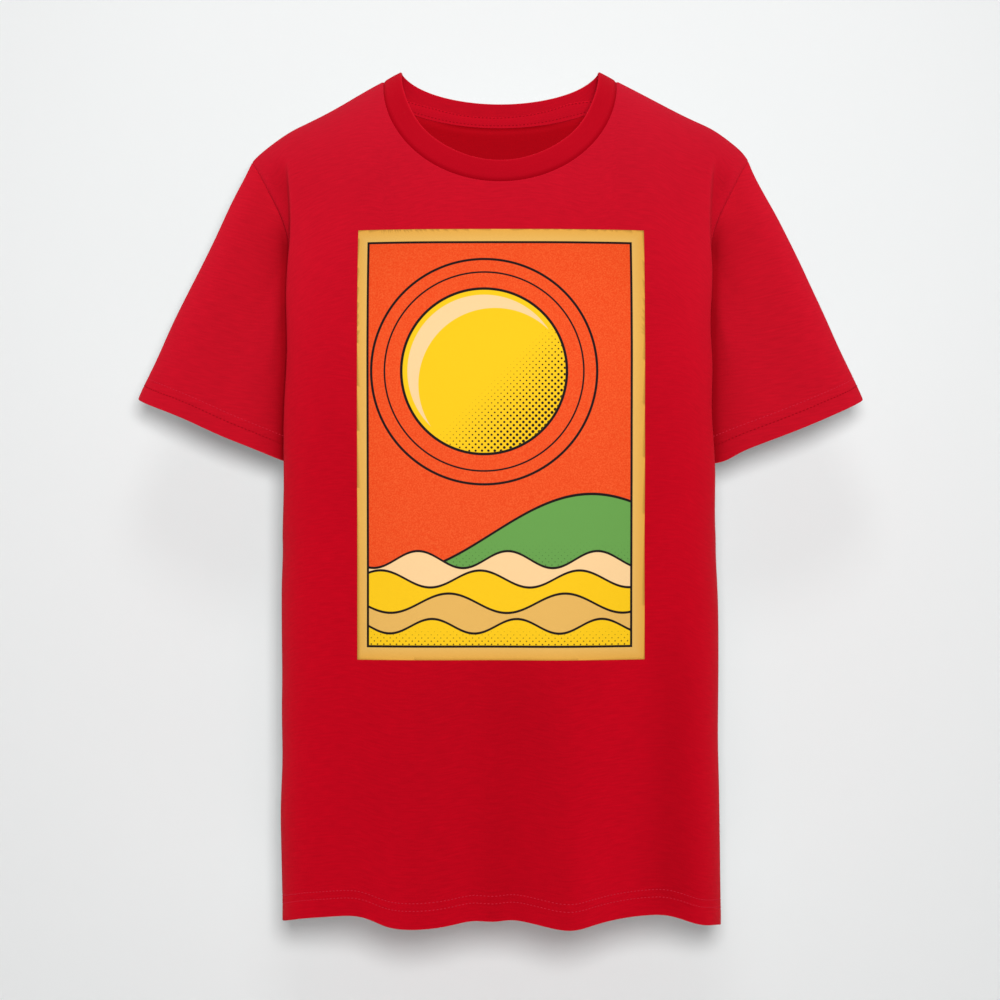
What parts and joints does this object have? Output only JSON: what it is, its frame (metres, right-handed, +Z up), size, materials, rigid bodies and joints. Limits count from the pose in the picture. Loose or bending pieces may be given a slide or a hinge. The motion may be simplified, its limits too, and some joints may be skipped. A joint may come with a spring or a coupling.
{
  "type": "crew-neck t-shirt",
  "caption": "Short-sleeved crew-neck T-shirt in the shape it takes when worn, with a rib collar, set-in sleeves and a printed panel on the chest.",
  "frame": {"origin": "centre of the neck opening, level with the two points where the shoulder seams meet the neck seam", "axes": "+Z up along the wearer's back, -Y out of the chest, +X towards the wearer's left side"},
  "size_m": [0.6276, 0.262, 0.7407],
  "materials": {
    "jersey": "matt cotton jersey",
    "rib_knit": "matt one-by-one rib knit",
    "print_film": "matt printed film over cotton"
  },
  "bodies": {
    "root": {"front_panel": "jersey", "back_panel": "jersey", "left_sleeve": "jersey", "right_sleeve": "jersey", "neck_rib": "rib_knit", "neck_tape": "jersey", "chest_print": "print_film"}
  },
  "joints": []
}
